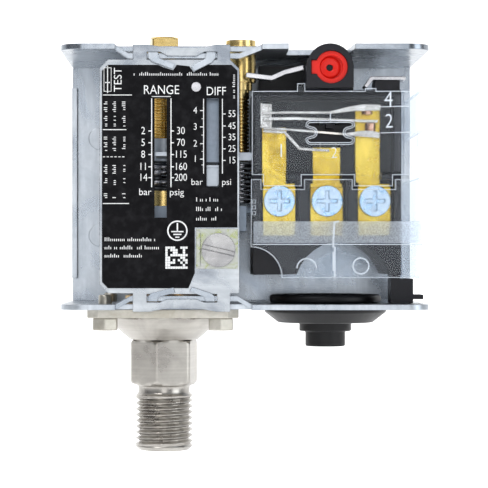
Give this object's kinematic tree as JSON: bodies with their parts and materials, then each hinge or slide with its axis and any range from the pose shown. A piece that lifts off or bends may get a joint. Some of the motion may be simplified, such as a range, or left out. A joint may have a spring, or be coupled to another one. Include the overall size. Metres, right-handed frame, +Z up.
{
  "type": "pressure switch",
  "caption": "Adjustable pressure switch: sheet chassis with scale plate, two setting spindles, bellows with threaded port, and a snap switch with screw terminals under clear covers.",
  "frame": {"origin": "centre of the open end of the pressure port, on the thread's axis", "axes": "+X towards the electrical side, +Y towards the back plate, +Z up, away from the port"},
  "size_m": [0.0818, 0.0475, 0.0952],
  "materials": {
    "zinc_sheet": "zinc-plated sheet with faint flow marks",
    "label_black": "black printed face with white scale lines",
    "bright_steel": "bright plated steel",
    "earth_zinc": "zinc plating with a yellow-green tint",
    "flange_zinc": "dull plated steel",
    "stainless": "turned stainless steel, satin",
    "bellows_bronze": "thin bronze",
    "spindle_brass": "turned brass",
    "nut_steel": "plated steel",
    "spring_steel": "drawn spring wire",
    "arm_steel": "blue-grey plated steel",
    "black_plastic": "black moulding",
    "terminal_brass": "stamped brass",
    "screw_zinc": "blue passivated zinc",
    "contact_silver": "silvered spring strip",
    "contact_copper": "copper contact",
    "clear_plastic": "clear moulded plastic",
    "red_plastic": "red plastic",
    "black_rubber": "black rubber"
  },
  "bodies": {
    "frame": {"chassis": "zinc_sheet", "front_plate": "zinc_sheet", "scale_label": "label_black", "label_pin": "bright_steel", "earth_clamp_plate": "earth_zinc", "earth_screw": "earth_zinc", "bellows_flange": "flange_zinc", "flange_screws": "flange_zinc", "bellows_bowl": "stainless", "pressure_connector": "stainless", "bellows_ring": "stainless", "bellows": "bellows_bronze", "arm_pivot": "arm_steel", "switch_housing": "black_plastic", "terminal_1": "terminal_brass", "terminal_2": "terminal_brass", "terminal_4": "terminal_brass", "terminal_clamps": "terminal_brass", "terminal_screws": "screw_zinc", "contact_strip_upper": "contact_silver", "contact_button_upper": "contact_copper", "contact_button_lower": "contact_copper", "contact_finger_lower": "contact_silver", "bent_strip": "contact_silver", "blade_bracket": "contact_silver", "contact_cover": "clear_plastic", "calibration_boss": "black_plastic", "calibration_seal": "red_plastic", "boss_strap": "bright_steel", "latch_strip": "bright_steel", "latch_block": "black_plastic", "cable_grommet": "black_rubber", "pointer_guide": "arm_steel"},
    "range_screw": {"range_spindle": "spindle_brass"},
    "range_slider": {"range_nut": "nut_steel"},
    "diff_screw": {"diff_spindle": "spindle_brass"},
    "diff_slider": {"diff_nut": "nut_steel"},
    "arm": {"main_arm": "arm_steel", "spring_cup": "spindle_brass", "transfer_rod": "arm_steel", "tumbler": "black_plastic", "main_spring": "spring_steel", "diff_spring": "spring_steel"},
    "thrust": {"thrust_rod": "bright_steel"},
    "blade": {"contact_blade": "contact_silver"},
    "shield": {"terminal_cover": "clear_plastic"}
  },
  "joints": [
    {"name": "range_spindle_turn", "type": "hinge", "parent": "frame", "child": "range_screw", "pos_m": [0, 0, 0.09], "axis": [0, 0, 1], "range_deg": [-2250, 2250]},
    {"name": "range_nut_travel", "type": "slide", "parent": "frame", "child": "range_slider", "axis": [0, 0, 1], "range_m": [-0.005, 0.005], "deforming": ["main_spring"]},
    {"name": "diff_spindle_turn", "type": "hinge", "parent": "frame", "child": "diff_screw", "pos_m": [0.0176, -0.008, 0.09], "axis": [0, 0, 1], "range_deg": [0, 4950]},
    {"name": "diff_nut_travel", "type": "slide", "parent": "frame", "child": "diff_slider", "axis": [0, 0, 1], "range_m": [0, 0.011], "deforming": ["diff_spring"]},
    {"name": "main_arm_tilt", "type": "hinge", "parent": "frame", "child": "arm", "pos_m": [-0.0105, 0, 0.0525], "axis": [0, -1, 0], "range_deg": [0, 1.15], "deforming": ["bellows"]},
    {"name": "thrust_rod_stroke", "type": "slide", "parent": "frame", "child": "thrust", "axis": [0, 0, 1], "range_m": [0, 0.000215]},
    {"name": "contact_blade_swing", "type": "hinge", "parent": "frame", "child": "blade", "pos_m": [0.0236, 0, 0.07565], "axis": [0, -1, 0], "range_deg": [0, 3.2]},
    {"name": "terminal_cover_pull", "type": "slide", "parent": "frame", "child": "shield", "axis": [0, -1, 0], "range_m": [0, 0.03]}
  ],
  "couplings": [
    {"joint": "range_nut_travel", "follows": "range_spindle_turn", "m_per_rad": 0.00012732},
    {"joint": "diff_nut_travel", "follows": "diff_spindle_turn", "m_per_rad": 0.00012732},
    {"joint": "thrust_rod_stroke", "follows": "main_arm_tilt", "m_per_rad": 0.0105},
    {"joint": "contact_blade_swing", "follows": "main_arm_tilt", "ratio": 2.75}
  ]
}
